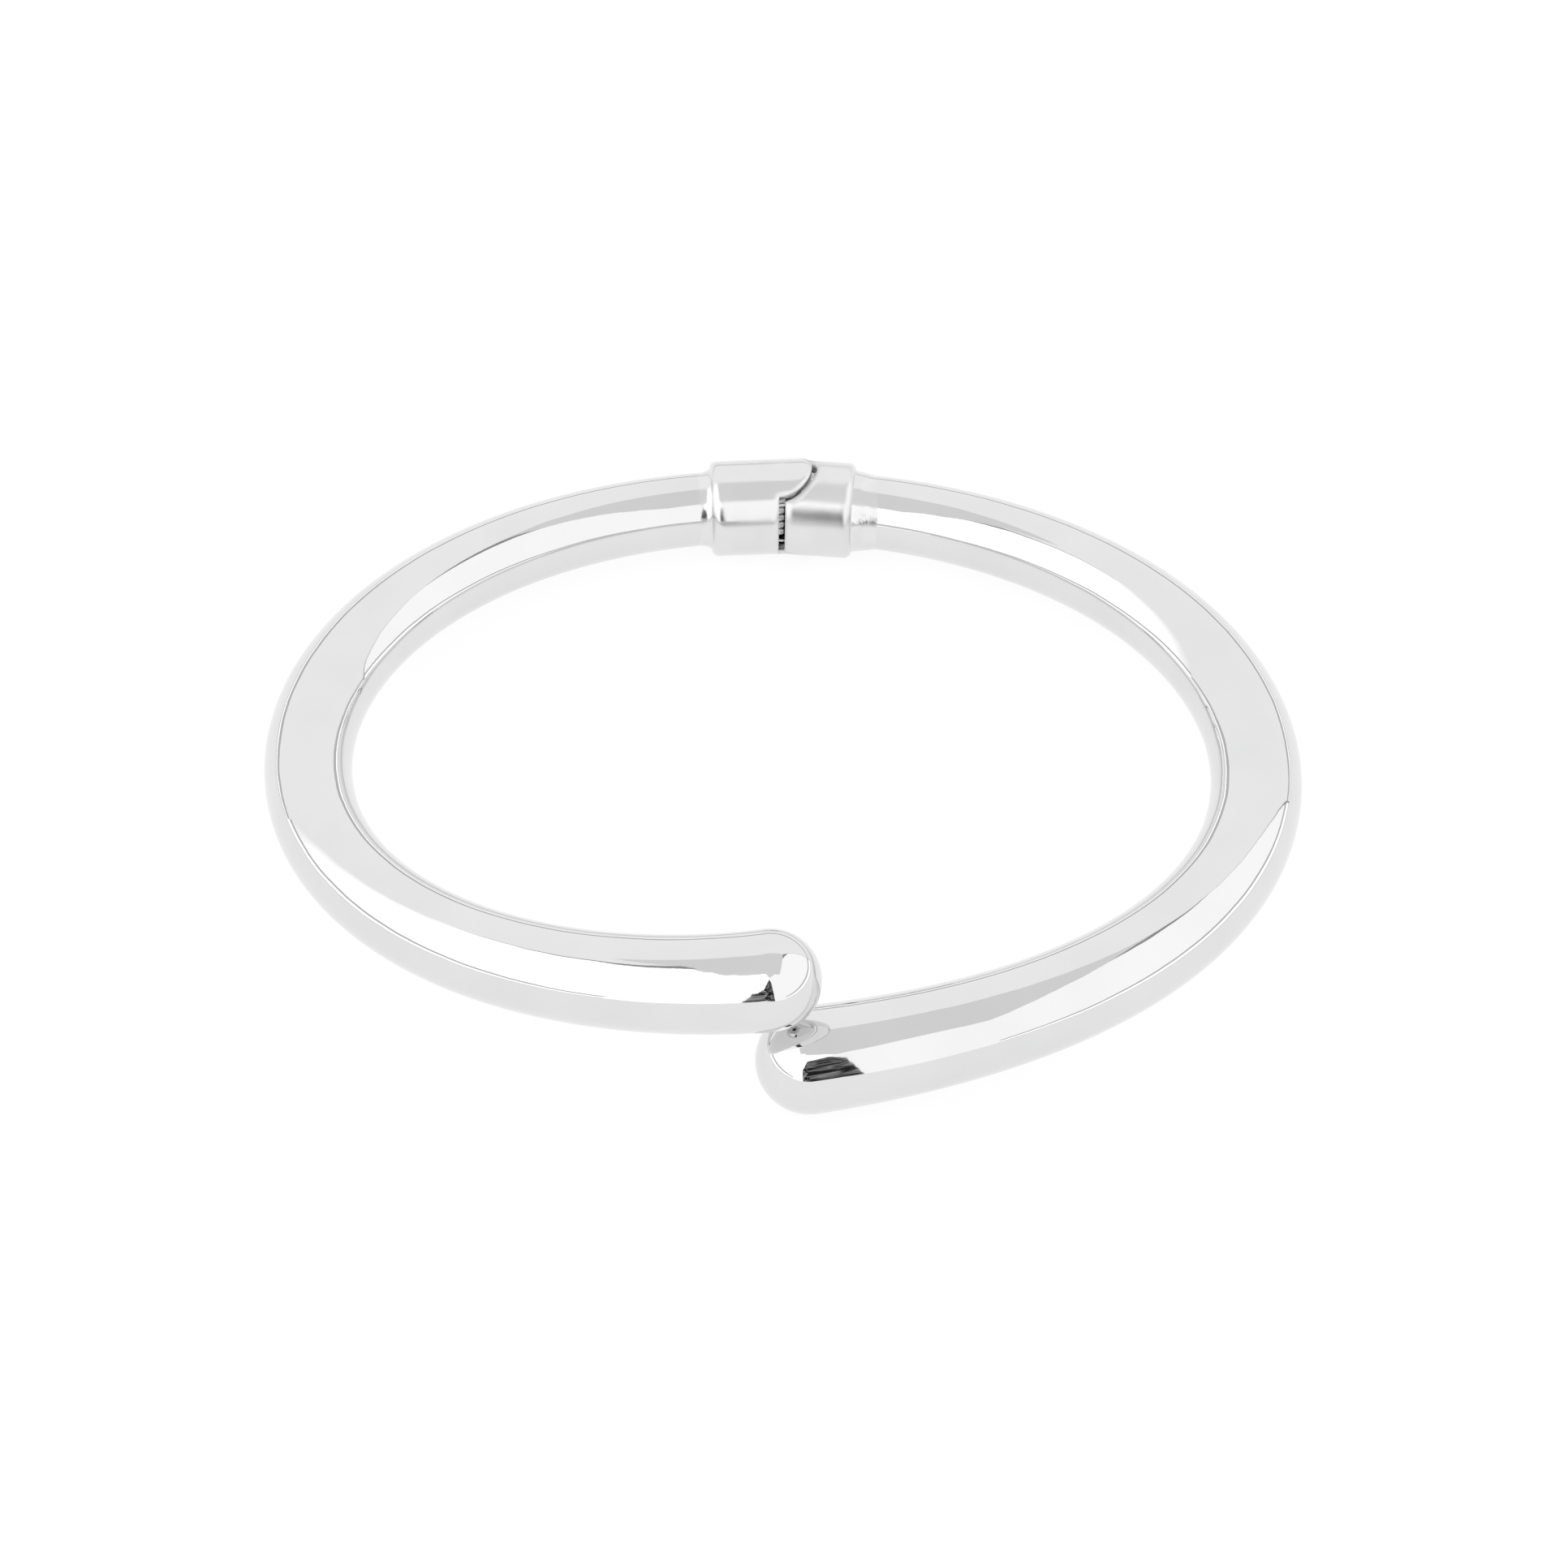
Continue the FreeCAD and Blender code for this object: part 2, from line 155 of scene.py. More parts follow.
def mesh_piece(name, points, faces, normals=None):
    """A smooth mesh object, with given vertex normals where the surface's own are known."""
    mesh = bpy.data.meshes.new(name)
    mesh.from_pydata([tuple(p) for p in points], [], faces)
    mesh.polygons.foreach_set("use_smooth", [True] * len(mesh.polygons))
    if normals is not None:
        mesh.normals_split_custom_set_from_vertices([tuple(n) for n in normals])
    piece = bpy.data.objects.new(name, mesh)
    bpy.context.scene.collection.objects.link(piece)
    return piece


def grid_faces(rows, columns):
    """Quads of a grid whose columns close into rings, row after row."""
    return [
        (row * columns + column, row * columns + (column + 1) % columns,
         (row + 1) * columns + (column + 1) % columns, (row + 1) * columns + column)
        for row in range(rows - 1) for column in range(columns)
    ]


def round_angles(count):
    """Angles evenly round a circle."""
    return np.linspace(0, 2 * pi, count, endpoint=False)


def unit(vectors):
    """The vectors, each made one long."""
    return vectors / np.linalg.norm(vectors, axis=-1, keepdims=True)


# --- the tube halves and their domes ---

def centre_line(side, angle):
    """Points of a half's centre line, at angles in radians round from the hinge."""
    oval = (np.cos(angle) + CORNER_FULLNESS * np.cos(3 * angle)) / (1 + CORNER_FULLNESS)
    x = side * HALF_WIDTH * np.sin(angle)
    y = HALF_DEPTH * oval - FORWARD_BULGE * np.sin(angle) ** 2
    z = -side * TIP_LIFT * (angle / pi) ** LIFT_POWER
    return np.stack((x, y, z), axis=-1)


def section_axes(side, angle):
    """Along, outwards and upwards directions of the sections at the angles."""
    along = unit(centre_line(side, angle + SLOPE_STEP) - centre_line(side, angle - SLOPE_STEP))
    outwards = unit(np.cross((0, 0, side), along))
    upwards = np.cross(along, outwards) * side
    return along, outwards, upwards


def section_height(side, angle):
    """Half the section's height: a cubic Bezier curve of the control radii."""
    far = angle / pi
    near = 1 - far
    hinge, rear, fore, tip = CONTROL_RADII
    curve = (hinge * near ** 3 + 3 * rear * far * near ** 2
             + 3 * fore * far ** 2 * near + tip * far ** 3)
    return curve * (1 + side * HALF_MISMATCH * far)


def tube_surface(side, angle, around):
    """Points of a tube's skin at angles round the oval and round the section."""
    _, outwards, upwards = section_axes(side, angle)
    height = section_height(side, angle)[..., None]
    widening = SIDE_WIDENING * (1 + np.cos(angle)) * np.sin(angle) ** 2
    width = height * (1 + widening[..., None])
    across = width * np.cos(around)[..., None] * outwards
    up = height * np.sin(side * around)[..., None] * upwards
    return centre_line(side, angle) + (across + up)


def tube_normals(side, angle, around):
    """Outward normals of a tube's skin, from its slopes along the oval and round the section."""
    ahead = tube_surface(side, angle + SLOPE_STEP, around)
    behind = tube_surface(side, angle - SLOPE_STEP, around)
    over = tube_surface(side, angle, around + SLOPE_STEP)
    under = tube_surface(side, angle, around - SLOPE_STEP)
    return unit(np.cross(over - under, ahead - behind))


def make_tube(side):
    """Outer skin of a half's tapered tube, from inside the hinge barrel to the dome."""
    angles = np.linspace(TUBE_START, TIP_ANGLE[side], TUBE_RINGS)
    around = round_angles(RING_POINTS)
    angle_grid, around_grid = np.meshgrid(angles, around, indexing="ij")
    points = tube_surface(side, angle_grid, around_grid)
    normals = tube_normals(side, angle_grid, around_grid)
    faces = grid_faces(TUBE_RINGS, RING_POINTS)
    half = HALF_NAME[side]
    piece = mesh_piece(f"{half}_tube_skin", points.reshape(-1, 3), faces, normals.reshape(-1, 3))
    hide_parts(f"{half}_tube")
    return piece


def make_dome(side):
    """A half's domed end: a ball that carries on the tube's widening without a crease."""
    tip = np.array([TIP_ANGLE[side]])
    centre = centre_line(side, tip)[0]
    along, outwards, upwards = (axis[0] for axis in section_axes(side, tip))
    height = section_height(side, tip)[0]
    travel = np.linalg.norm(centre_line(side, tip) - centre_line(side, tip - FLARE_STEP))
    flare = np.arctan((height - section_height(side, tip - FLARE_STEP)[0]) / travel)
    rise = np.linspace(-flare, pi / 2 - POLE_GAP, DOME_RINGS)
    around = round_angles(RING_POINTS)
    rise_grid, around_grid = np.meshgrid(rise, around, indexing="ij")
    radius = height / cos(flare)
    middle = centre + along * radius * sin(flare)
    rim = (np.cos(around_grid)[..., None] * outwards
           + np.sin(side * around_grid)[..., None] * upwards)
    normals = np.cos(rise_grid)[..., None] * rim + np.sin(rise_grid)[..., None] * along
    points = (middle + radius * normals).reshape(-1, 3)
    faces = grid_faces(DOME_RINGS, RING_POINTS)
    faces.append(tuple(range((DOME_RINGS - 1) * RING_POINTS, DOME_RINGS * RING_POINTS)))
    half = HALF_NAME[side]
    piece = mesh_piece(f"{half}_dome", points, faces, normals.reshape(-1, 3))
    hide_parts(f"{half}_tip_cap")
    return piece


# --- the solder necks ---

def angle_at(side, distance):
    """Angle of the centre line's point that is this far along the barrel's axis."""
    line = centre_line(side, NECK_SEARCH)
    sideways = side * (line[:, 0] - HINGE_OFFSET)
    forwards = HALF_DEPTH - line[:, 1]
    reach = sideways * cos(BARREL_SLOPE) + forwards * sin(BARREL_SLOPE)
    return np.interp(distance, reach, NECK_SEARCH)


def make_neck(side):
    """Solder run between a barrel's end face and the tube, a little uneven where it ends."""
    around = round_angles(RING_POINTS)
    barrel_along = np.array((side * cos(BARREL_SLOPE), -sin(BARREL_SLOPE), 0))
    barrel_outwards = np.array((side * sin(BARREL_SLOPE), cos(BARREL_SLOPE), 0))
    hinge_middle = np.array((HINGE_OFFSET, HALF_DEPTH, 0))
    face_middle = hinge_middle + barrel_along * (BARREL_LENGTH - NECK_OVERLAP)
    rim = (np.cos(around)[:, None] * barrel_outwards
           + np.sin(side * around)[:, None] * np.array((0, 0, 1)))
    start = face_middle + NECK_RADIUS * rim
    wobble = sum(np.sin(count * around + phase) / count for count, phase in NECK_WAVES)
    run_out = NECK_LENGTH[side] * (1 - NECK_LEAN * np.cos(around))
    end_reach = BARREL_LENGTH + run_out + NECK_UNEVENNESS * wobble
    corner = tube_surface(side, angle_at(side, BARREL_LENGTH + 0 * around), around)
    end = tube_surface(side, angle_at(side, end_reach), around)
    pull = NECK_HOLLOW[side] * corner + (1 - NECK_HOLLOW[side]) * (start + end) / 2
    run = np.linspace(0, 1, NECK_RINGS)[:, None, None]
    points = (1 - run) ** 2 * start + 2 * run * (1 - run) * pull + run ** 2 * end
    faces = grid_faces(NECK_RINGS, RING_POINTS)
    half = HALF_NAME[side]
    piece = mesh_piece(f"{half}_solder_neck", points.reshape(-1, 3), faces)
    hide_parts(f"{half}_neck_ring")
    return piece


# --- the torsion spring ---

def spring_path():
    """Wire path about the hinge axis: left leg, coils, right leg."""
    turn = np.linspace(0, 2 * pi * COIL_TURNS, TURN_POINTS * COIL_TURNS)
    half_rise = COIL_PITCH * COIL_TURNS / 2
    coils = np.stack((COIL_RADIUS * np.sin(turn), -COIL_RADIUS * np.cos(turn),
                      COIL_PITCH * turn / (2 * pi) - half_rise), axis=-1)
    slope = np.array((COIL_RADIUS, 0, COIL_PITCH / (2 * pi)))
    slope = slope / np.linalg.norm(slope)
    run = np.linspace(LEG_LENGTH, 0, LEG_POINTS, endpoint=False)[:, None]
    left_leg = coils[0] - slope * run
    right_leg = coils[-1] + slope * run[::-1]
    return np.concatenate((left_leg, coils, right_leg)) + np.array(HINGE)


def make_spring():
    """Round wire along the path, with closed ends."""
    path = spring_path()
    along = unit(np.gradient(path, axis=0))
    side = unit(np.cross(along, (0, 0, 1)))
    up = np.cross(side, along)
    around = round_angles(WIRE_POINTS)
    ring = (np.cos(around)[None, :, None] * side[:, None]
            + np.sin(around)[None, :, None] * up[:, None])
    points = path[:, None] + WIRE_RADIUS * ring
    faces = grid_faces(len(path), WIRE_POINTS)
    faces.append(tuple(range(WIRE_POINTS))[::-1])
    faces.append(tuple(range((len(path) - 1) * WIRE_POINTS, len(path) * WIRE_POINTS)))
    piece = mesh_piece("spring_wire", points.reshape(-1, 3), faces)
    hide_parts("torsion_spring")
    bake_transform(piece)
    return piece


# --- materials ---

class Finish:
    """A metal's node tree, with the few node kinds that the metals are made of.

    The colour and roughness given first stand in for the patterns wherever those are left out.
    """

    def __init__(self, name, colour, roughness):
        self.material = bpy.data.materials.new(name)
        self.material.use_nodes = True
        self.tree = self.material.node_tree
        self.shader = self.tree.nodes["Principled BSDF"]
        self.shader.inputs["Metallic"].default_value = 1.0
        self.shader.inputs["Base Color"].default_value = (*colour, 1)
        self.shader.inputs["Roughness"].default_value = roughness
        self.place = self.add("ShaderNodeTexCoord").outputs["Object"]
        self.normal = None

    def add(self, kind, **inputs):
        """New node, with values or sockets for its inputs by name."""
        node = self.tree.nodes.new(kind)
        for name, value in inputs.items():
            self.feed(node.inputs[name.replace("_", " ")], value)
        return node

    def feed(self, socket, value):
        """Give an input a value, or link it to another node's output."""
        if isinstance(value, bpy.types.NodeSocket):
            self.tree.links.new(value, socket)
        else:
            socket.default_value = value

    def vector_math(self, operation, first, second=None):
        """Result of a vector operation: a vector, or a number where the operation gives one."""
        node = self.add("ShaderNodeVectorMath")
        node.operation = operation
        self.feed(node.inputs[0], first)
        if second is not None:
            self.feed(node.inputs[1], second)
        return next(socket for socket in node.outputs if socket.enabled)

    def stretched(self, stretch):
        """Position scaled differently along X, Y and Z, for grain that runs one way."""
        return self.add("ShaderNodeMapping", Vector=self.place, Scale=stretch).outputs["Vector"]

    def noise(self, size, detail, place=None):
        """Soft blotches of about this size in metres."""
        node = self.add("ShaderNodeTexNoise", Vector=place or self.place,
                        Scale=1 / size, Detail=detail)
        return node.outputs["Fac"]

    def spread(self, noise, low, high):
        """A noise's usual range spread from low to high."""
        node = self.add("ShaderNodeMapRange", Value=noise)
        bounds = {"From Min": NOISE_RANGE[0], "From Max": NOISE_RANGE[1],
                  "To Min": low, "To Max": high}
        for name, bound in bounds.items():
            node.inputs[name].default_value = bound
        return node.outputs["Result"]

    def colour_by(self, noise, tones):
        """Let the colour follow a noise, from the first tone to the second."""
        node = self.add("ShaderNodeMix")
        node.data_type = "RGBA"
        self.feed(node.inputs["Factor"], self.spread(noise, 0.0, 1.0))
        node.inputs["A"].default_value = (*tones[0], 1)
        node.inputs["B"].default_value = (*tones[1], 1)
        self.feed(self.shader.inputs["Base Color"], node.outputs["Result"])

    def roughen_by(self, noise, roughness):
        """Let the roughness follow a noise, from the first value to the second."""
        self.feed(self.shader.inputs["Roughness"], self.spread(noise, *roughness))

    def round_edges(self, radius, flat_radius=0.0):
        """Soften the normals near sharp edges, but not within flat_radius of the pin's axis."""
        bevel = self.add("ShaderNodeBevel", Radius=radius)
        bevel.samples = BEVEL_SAMPLES
        offset = self.vector_math("SUBTRACT", self.place, tuple(HINGE))
        sideways = self.vector_math("MULTIPLY", offset, (1, 1, 0))
        away = self.add("ShaderNodeMath")
        away.operation = "GREATER_THAN"
        self.feed(away.inputs[0], self.vector_math("LENGTH", sideways))
        away.inputs[1].default_value = flat_radius
        choice = self.add("ShaderNodeMix")
        choice.data_type = "VECTOR"
        true_normal = self.add("ShaderNodeNewGeometry").outputs["Normal"]
        factor, *ends = (socket for socket in choice.inputs if socket.enabled)
        self.feed(factor, away.outputs["Value"])
        self.feed(ends[0], true_normal)
        self.feed(ends[1], bevel.outputs["Normal"])
        self.normal = next(socket for socket in choice.outputs if socket.enabled)

    def bump(self, height, depth):
        """Relief of this depth in metres, on top of what is there."""
        node = self.add("ShaderNodeBump", Height=height, Strength=1.0, Distance=depth)
        if self.normal is not None:
            self.feed(node.inputs["Normal"], self.normal)
        self.normal = node.outputs["Normal"]

    def done(self):
        """The finished material."""
        if self.normal is not None:
            self.feed(self.shader.inputs["Normal"], self.normal)
        return self.material


def polished_silver():
    """Mirror polish over a hand-finished, very slightly wavy skin with faint wipe marks."""
    finish = Finish("tube_silver", (0.725, 0.725, 0.725), 0.03)
    finish.colour_by(finish.noise(6 * MM, detail=4.0), TUBE_TONES)
    wipes = finish.noise(1.2 * MM, detail=6.0, place=finish.stretched((1, 4, 4)))
    finish.roughen_by(wipes, TUBE_ROUGHNESS)
    finish.bump(finish.noise(5 * MM, detail=1.0), 45 * MICRON)
    finish.bump(finish.noise(1.4 * MM, detail=2.0), 4 * MICRON)
    return finish.done()


def barrel_silver(name, roughness):
    """A barrel's polish: softer than the tubes', with rounded edges and buffing marks."""
    finish = Finish(name, (0.725, 0.725, 0.725), roughness[1])
    finish.colour_by(finish.noise(3 * MM, detail=4.0), BARREL_TONES)
    finish.round_edges(BARREL_EDGE, flat_radius=PIN_SURROUND)
    buffing = finish.noise(0.8 * MM, detail=3.0, place=finish.stretched((0.2, 1, 1)))
    finish.roughen_by(buffing, roughness)
    finish.bump(buffing, 6 * MICRON)
    return finish.done()


def silver_solder():
    """Flowed solder: bright, softly uneven, with tiny pits."""
    finish = Finish("silver_solder", (0.79, 0.79, 0.79), 0.25)
    patches = finish.noise(0.9 * MM, detail=4.0)
    finish.colour_by(patches, SOLDER_TONES)
    finish.roughen_by(patches, SOLDER_ROUGHNESS)
    finish.bump(finish.noise(0.7 * MM, detail=2.0), 18 * MICRON)
    finish.bump(finish.noise(0.15 * MM, detail=2.0), 1.5 * MICRON)
    return finish.done()


def hinge_metal():
    """Satin, as cast, with machined grain."""
    finish = Finish("hinge_metal", (0.76, 0.76, 0.75), 0.25)
    grain = finish.noise(0.3 * MM, detail=5.0, place=finish.stretched((0.3, 0.3, 2)))
    finish.colour_by(grain, KNUCKLE_TONES)
    finish.roughen_by(grain, KNUCKLE_ROUGHNESS)
    finish.round_edges(KNUCKLE_EDGE)
    finish.bump(grain, 3 * MICRON)
    return finish.done()


def spring_steel():
    """Drawn wire: fine lengthwise die marks and a darker film."""
    finish = Finish("spring_steel", (0.62, 0.62, 0.63), 0.2)
    finish.colour_by(finish.noise(0.5 * MM, detail=5.0), WIRE_TONES)
    drawing = finish.noise(0.06 * MM, detail=2.0, place=finish.stretched((0.15, 0.15, 1)))
    finish.roughen_by(drawing, WIRE_ROUGHNESS)
    finish.bump(drawing, 1 * MICRON)
    return finish.done()


# --- studio ---

# The light tent: a white box of cloth around the bangle
TENT_HALF_WIDTH = 0.6
TENT_BACK = {LEFT: 0.3, RIGHT: 0.4}
TENT_FRONT = -0.97
TENT_HEIGHT = 1.4
TENT_SINK = 0.1

# Its front, as (x, z): both edges of the slit where the camera looks in, and the ceiling's sag
# above it. The dim room is behind it.
SLIT_EDGE = {LEFT: ((-0.208, -TENT_SINK), (-0.262, 0.36), (-0.08, 0.92)),
             RIGHT: ((0.176, -TENT_SINK), (0.026, 0.74))}
CEILING_SAG = ((-0.3, TENT_HEIGHT), (0.25, TENT_HEIGHT), (-0.06, 1.02))
ROOM_HALF_WIDTH = 0.3
ROOM_HEIGHT = 1.0
ROOM_GAP = 0.02

# Cloth gathered in the back corners, as (y, z), just inside the walls
FOLD_GAP = 0.01
FOLD_LIFT = 0.002
LEFT_DROOP = ((0.29, 0.9), (0.12, 1.08), (0.03, 1.17), (-0.35, TENT_HEIGHT))
LEFT_FOLD_TOP = ((-0.1, TENT_HEIGHT), (0.06, 1.21), (0.14, 1.115))
RIGHT_FOLD = ((0.39, TENT_HEIGHT), (0.1, TENT_HEIGHT), (0.39, 0.9))
RIGHT_SEAM_WIDTH = 0.011
RIGHT_SEAM_TOP = 1.0

# Heights of the strips at the foot of the back and the sides
FLOOR_LINE = 0.008
SIDE_HEM = 0.055
BACK_HEM = 0.02
SEAM = 0.035

# Radiance of the tent's pieces and of the background: the paper on the floor is about 1
BACK_LIGHT = 1.09
LEFT_LIGHT = 1.6
RIGHT_LIGHT = 1.27
CEILING_LIGHT = 0.85
CORNER_LIGHT = 0.35
FLOOR_LINE_LIGHT = 0.6
HEM_LIGHT = 1.4
SEAM_LIGHT = 0.6
ROOM_LIGHT = (0.02, 0.5)
WORLD_LIGHT = 0.95

# Depth over which the left side grows brighter from the back, and the room's streaks: the noise
# values between which they rise from dark to pale, and how they are squeezed along X, Y and Z
LEFT_FADE = 0.15
ROOM_STREAKS = (0.45, 0.72)
ROOM_SQUEEZE = (5, 1, 7)

# The paper: leaning back a little, mostly shining by itself so that shadows stay faint
FLOOR_TILT = radians(3.6)
FLOOR_HALF_SIZE = 3.0
FLOOR_GAP = 0.05 * MM
FLOOR_GLOW = 0.86
FLOOR_SHADE = 0.17


def glow(name, radiance):
    """Plain shining material."""
    material = bpy.data.materials.new(name)
    material.use_nodes = True
    tree = material.node_tree
    tree.nodes.clear()
    emission = tree.nodes.new("ShaderNodeEmission")
    emission.inputs["Color"].default_value = (1, 1, 1, 1)
    emission.inputs["Strength"].default_value = radiance
    output = tree.nodes.new("ShaderNodeOutputMaterial")
    tree.links.new(emission.outputs["Emission"], output.inputs["Surface"])
    return material


def drive_glow(material, source, span, radiances):
    """Make a glow's radiance follow a source: over the span it runs between two radiances."""
    tree = material.node_tree
    ramp = tree.nodes.new("ShaderNodeMapRange")
    ramp.inputs["From Min"].default_value, ramp.inputs["From Max"].default_value = span
    ramp.inputs["To Min"].default_value, ramp.inputs["To Max"].default_value = radiances
    tree.links.new(source, ramp.inputs["Value"])
    tree.links.new(ramp.outputs["Result"], tree.nodes["Emission"].inputs["Strength"])


def place_through(tree, node):
    """Feed the position on the piece to a node's vector."""
    place = tree.nodes.new("ShaderNodeTexCoord")
    tree.links.new(place.outputs["Object"], node.inputs["Vector"])
    return node


def fading_glow(name, axis, places, radiances):
    """Light that fades evenly between two places along one axis."""
    material = glow(name, radiances[0])
    tree = material.node_tree
    split = place_through(tree, tree.nodes.new("ShaderNodeSeparateXYZ"))
    drive_glow(material, split.outputs[axis], places, radiances)
    return material


def room_glow():
    """The dim room behind the slit: dark, with pale streaks."""
    material = glow("room", ROOM_LIGHT[0])
    tree = material.node_tree
    stretch = place_through(tree, tree.nodes.new("ShaderNodeMapping"))
    stretch.inputs["Scale"].default_value = ROOM_SQUEEZE
    streaks = tree.nodes.new("ShaderNodeTexNoise")
    streaks.inputs["Scale"].default_value = 1.6
    streaks.inputs["Detail"].default_value = 4.0
    streaks.inputs["Distortion"].default_value = 1.2
    tree.links.new(stretch.outputs["Vector"], streaks.inputs["Vector"])
    drive_glow(material, streaks.outputs["Fac"], ROOM_STREAKS, ROOM_LIGHT)
    return material


def panel(name, corners, material):
    """One flat piece of the tent, seen only in reflections."""
    piece = mesh_piece(name, corners, [tuple(range(len(corners)))])
    piece.data.materials.append(material)
    piece.visible_camera = False
    piece.visible_shadow = False


def upright(start, end, lows, highs):
    """Corners of an upright panel between two points of the plan, with two heights at each."""
    return [(*start, lows[0]), (*end, lows[1]), (*end, highs[1]), (*start, highs[0])]


def floor_height(y):
    """Height of the tilted floor at this depth, counted from the bangle's middle."""
    return y * tan(FLOOR_TILT)


def wall(name, start, end, hem, cloth):
    """A side of the tent: dark line at the floor, white hem, grey seam, and the lit cloth above."""
    grounds = (floor_height(start[1]), floor_height(end[1]))
    rises = (0, FLOOR_LINE, FLOOR_LINE + hem, FLOOR_LINE + hem + SEAM)
    levels = [tuple(ground + rise for ground in grounds) for rise in rises]
    levels.append((TENT_HEIGHT, TENT_HEIGHT))
    strips = (
        ("line", glow(f"{name}_line", FLOOR_LINE_LIGHT)),
        ("hem", glow(f"{name}_hem", HEM_LIGHT)),
        ("seam", glow(f"{name}_seam", SEAM_LIGHT)),
        ("cloth", cloth),
    )
    for (part, light), lows, highs in zip(strips, levels, levels[1:]):
        panel(f"{name}_{part}", upright(start, end, lows, highs), light)


def across_front(y, outline):
    """Corners of an upright panel that runs along X, from its (x, z) outline."""
    return [(x, y, z) for x, z in outline]


def along_side(x, outline):
    """Corners of an upright panel that runs along Y, from its (y, z) outline."""
    return [(x, y, z) for y, z in outline]


def front_wall(flap_light, lintel_light):
    """Two flaps, the slit between them, a lintel above it and the room behind it."""
    heads = [SLIT_EDGE[side][-1] for side in (LEFT, RIGHT)]
    for side, head in zip((LEFT, RIGHT), heads):
        edge = side * TENT_HALF_WIDTH
        outline = ((edge, -TENT_SINK), *SLIT_EDGE[side],
                   (head[0], TENT_HEIGHT), (edge, TENT_HEIGHT))
        panel(f"{HALF_NAME[side]}_flap", across_front(TENT_FRONT, outline), flap_light[side])
    outline = (*heads, (heads[1][0], TENT_HEIGHT), (heads[0][0], TENT_HEIGHT))
    panel("lintel", across_front(TENT_FRONT, outline), lintel_light)
    left, right = -ROOM_HALF_WIDTH, ROOM_HALF_WIDTH
    outline = ((left, -TENT_SINK), (right, -TENT_SINK), (right, ROOM_HEIGHT), (left, ROOM_HEIGHT))
    panel("room", across_front(TENT_FRONT - ROOM_GAP, outline), room_glow())


def make_folds(ceiling, back_cloth):
    """The ceiling's sag over the slit, and the cloth gathered in the two back corners."""
    panel("ceiling_sag", across_front(TENT_FRONT + FOLD_GAP, CEILING_SAG), ceiling)
    dusk = glow("corner_shade", CORNER_LIGHT)
    inset = TENT_HALF_WIDTH - FOLD_GAP
    seam_depth = TENT_BACK[RIGHT] - FOLD_GAP
    seam = upright((inset, seam_depth), (inset - RIGHT_SEAM_WIDTH, seam_depth),
                   (0, 0), (RIGHT_SEAM_TOP, RIGHT_SEAM_TOP))
    panel("right_corner_seam", seam, dusk)
    panel("right_corner_fold", along_side(inset, RIGHT_FOLD), dusk)
    droop = (*LEFT_DROOP, (LEFT_DROOP[0][0], TENT_HEIGHT))
    panel("left_corner_droop", along_side(-inset, droop), back_cloth)
    panel("left_corner_fold", along_side(FOLD_LIFT - inset, (*LEFT_DROOP, *LEFT_FOLD_TOP)), dusk)


def make_tent():
    """The tent around the bangle."""
    back_left = (-TENT_HALF_WIDTH, TENT_BACK[LEFT])
    back_right = (TENT_HALF_WIDTH, TENT_BACK[RIGHT])
    front_left = (-TENT_HALF_WIDTH, TENT_FRONT)
    front_right = (TENT_HALF_WIDTH, TENT_FRONT)
    back_cloth = glow("back_cloth", BACK_LIGHT)
    fade = (TENT_BACK[LEFT], TENT_BACK[LEFT] - LEFT_FADE)
    left_cloth = fading_glow("left_cloth", "Y", fade, (BACK_LIGHT, LEFT_LIGHT))
    right_cloth = glow("right_cloth", RIGHT_LIGHT)
    ceiling = glow("ceiling", CEILING_LIGHT)
    wall("back", back_left, back_right, BACK_HEM, back_cloth)
    wall("left", front_left, back_left, SIDE_HEM, left_cloth)
    wall("right", back_right, front_right, SIDE_HEM, right_cloth)
    front_wall({LEFT: glow("left_flap", LEFT_LIGHT), RIGHT: right_cloth}, right_cloth)
    top = [(*corner, TENT_HEIGHT) for corner in (front_left, front_right, back_right, back_left)]
    panel("ceiling", top, ceiling)
    make_folds(ceiling, back_cloth)


def make_floor():
    """Pale sheet that the right tip and the hinge barrels stand on."""
    barrel_low, barrel_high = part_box("left_hinge_barrel")
    middle = (barrel_low + barrel_high) / 2
    edge = FLOOR_HALF_SIZE
    corners = [(-edge, -edge, 0), (edge, -edge, 0), (edge, edge, 0), (-edge, edge, 0)]
    sheet = mesh_piece("floor_sheet", corners, [(0, 1, 2, 3)])
    sheet.matrix_world = (Matrix.Translation((0, middle.y, barrel_low.z - FLOOR_GAP))
                          @ Matrix.Rotation(FLOOR_TILT, 4, "X"))
    material = bpy.data.materials.new("floor_paper")
    material.use_nodes = True
    shader = material.node_tree.nodes["Principled BSDF"]
    shader.inputs["Base Color"].default_value = (FLOOR_SHADE, FLOOR_SHADE, FLOOR_SHADE, 1)
    shader.inputs["Roughness"].default_value = 1.0
    shader.inputs["Specular IOR Level"].default_value = 0.0
    shader.inputs["Emission Color"].default_value = (1, 1, 1, 1)
    shader.inputs["Emission Strength"].default_value = FLOOR_GLOW
    sheet.data.materials.append(material)


def make_world():
    """Even pale background, for what the floor and the tent leave open."""
    world = bpy.data.worlds.new("studio")
    world.use_nodes = True
    colour = (WORLD_LIGHT, WORLD_LIGHT, WORLD_LIGHT, 1)
    world.node_tree.nodes["Background"].inputs["Color"].default_value = colour
    bpy.context.scene.world = world


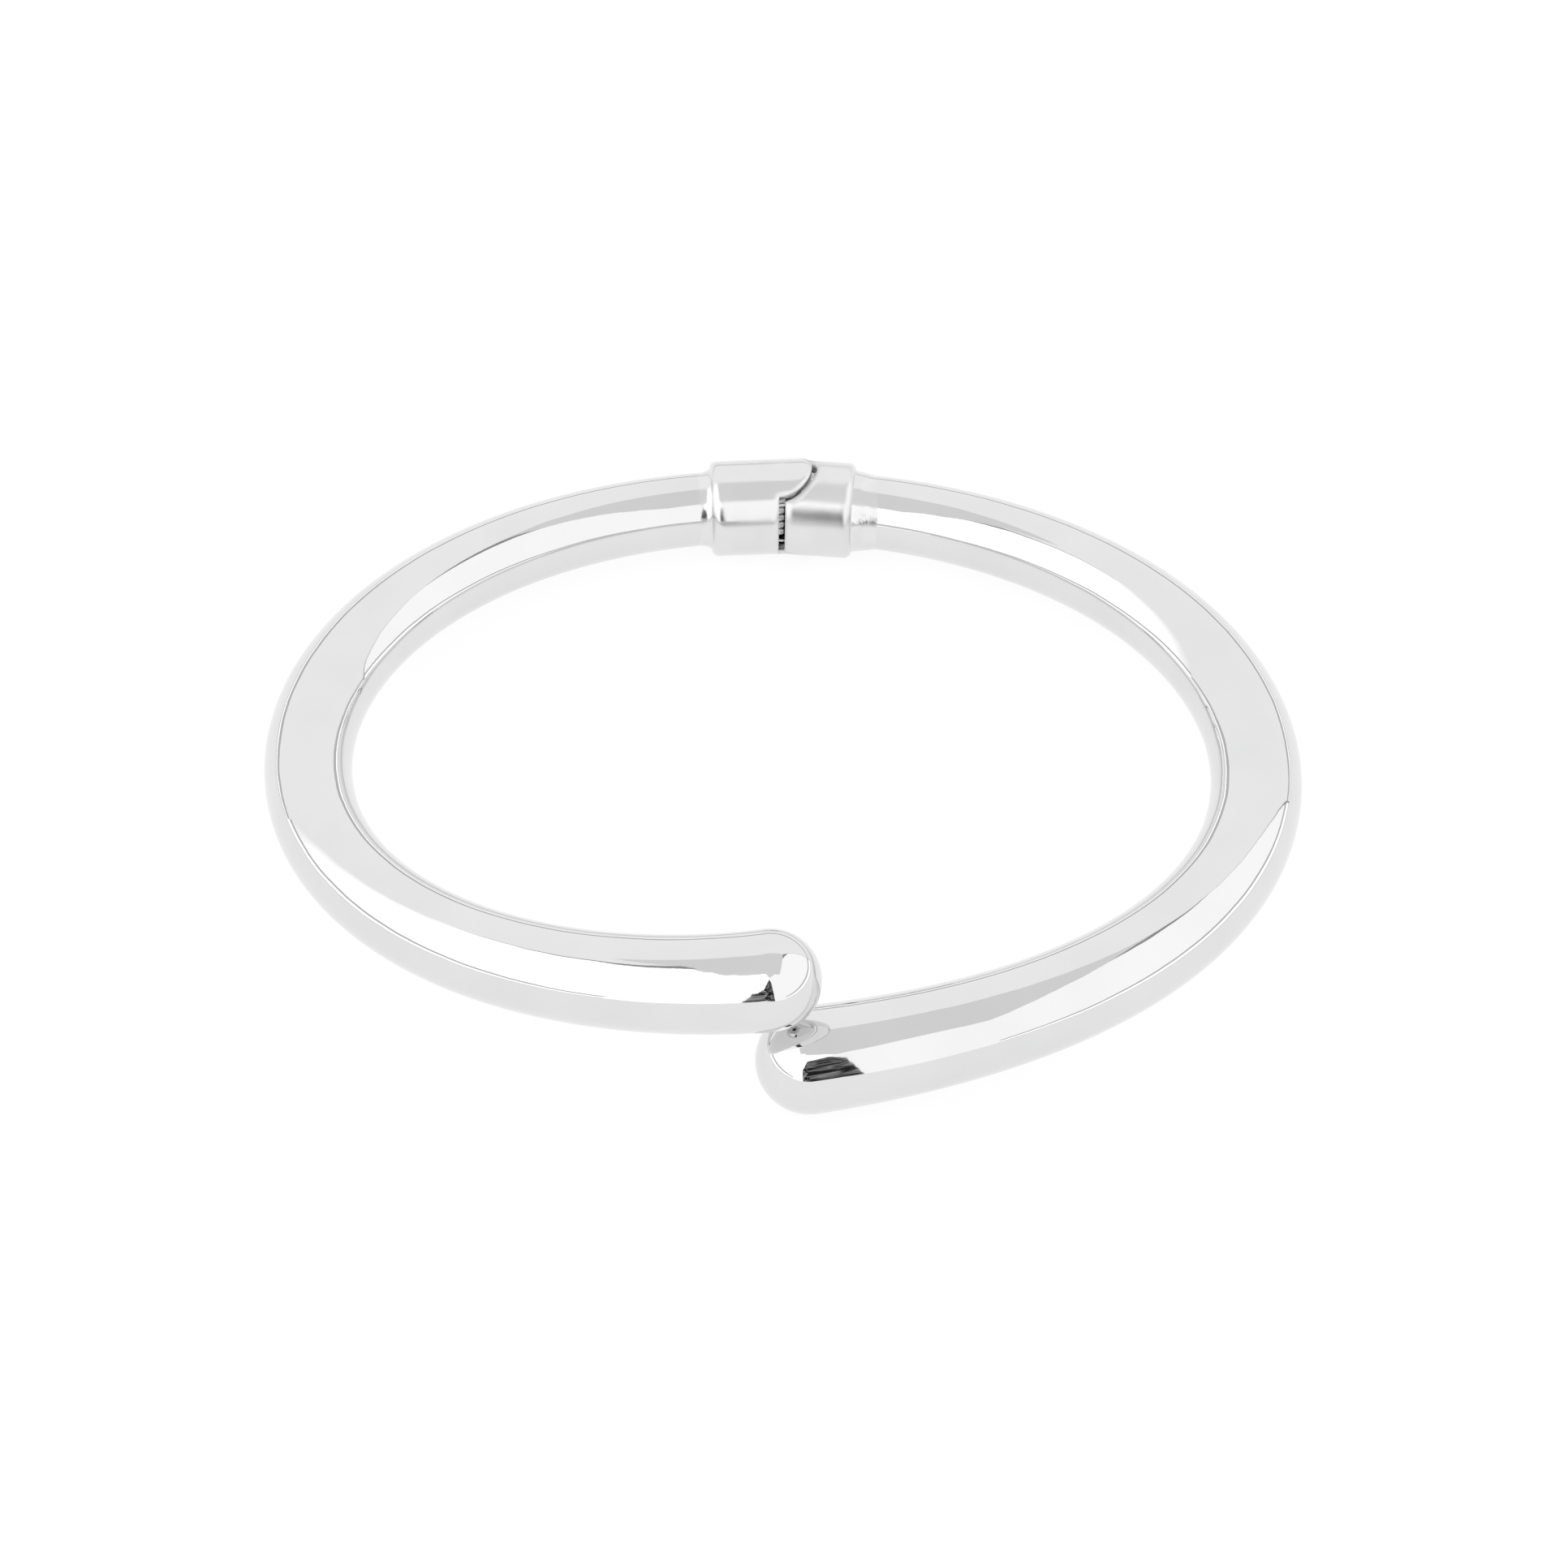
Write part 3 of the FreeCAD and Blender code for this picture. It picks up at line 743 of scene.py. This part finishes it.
def make_camera():
    """The camera at the photograph's place, as fitted to the outline."""
    data = bpy.data.cameras.new("camera")
    data.lens = LENS_MM
    data.sensor_width = SENSOR_MM
    data.shift_x = SHIFT_X
    data.shift_y = SHIFT_Y
    data.clip_start = CLIP_START
    data.clip_end = CLIP_END
    camera = bpy.data.objects.new("camera", data)
    bpy.context.scene.collection.objects.link(camera)
    back = CAMERA_DISTANCE * cos(CAMERA_ELEVATION)
    height = CAMERA_DISTANCE * sin(CAMERA_ELEVATION)
    place = Matrix.Translation((0, -back, height))
    look = Matrix.Rotation(pi / 2 - CAMERA_ELEVATION, 4, "X") @ Matrix.Rotation(CAMERA_ROLL, 4, "Z")
    camera.matrix_world = Matrix.Rotation(BANGLE_LEAN, 4, "Y") @ place @ look
    bpy.context.scene.camera = camera


def make_half(side, skin, solder):
    """A half's tube, dome and solder neck, on its body."""
    body = f"{HALF_NAME[side]}_half"
    for piece, material, slot in (
        (make_tube(side), skin, "polished_silver"),
        (make_dome(side), skin, "polished_silver"),
        (make_neck(side), solder, "silver_solder"),
    ):
        piece.data.materials.append(material)
        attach(piece, body)


def dress_hinge():
    """Metals of the hinge parts that come from the CAD."""
    left_polish = barrel_silver("left_barrel_silver", LEFT_BARREL_ROUGHNESS)
    right_polish = barrel_silver("right_barrel_silver", RIGHT_BARREL_ROUGHNESS)
    knuckle_metal = hinge_metal()
    for name, material in (
        ("right_hinge_barrel", right_polish),
        ("left_hinge_barrel", left_polish),
        ("hinge_pin", left_polish),
        ("right_hinge_insert", knuckle_metal),
        ("left_hinge_insert", knuckle_metal),
    ):
        for slot in frame["nodes"][name].material_slots:
            slot.material = material


def main():
    """Studio first, then the bangle's pieces and their metals."""
    make_camera()
    make_world()
    make_floor()
    make_tent()
    tube_silver = polished_silver()
    solder = silver_solder()
    for side in (RIGHT, LEFT):
        make_half(side, tube_silver, solder)
    spring = make_spring()
    spring.data.materials.append(spring_steel())
    dress_hinge()
    bpy.context.scene.view_settings.view_transform = "Standard"


main()
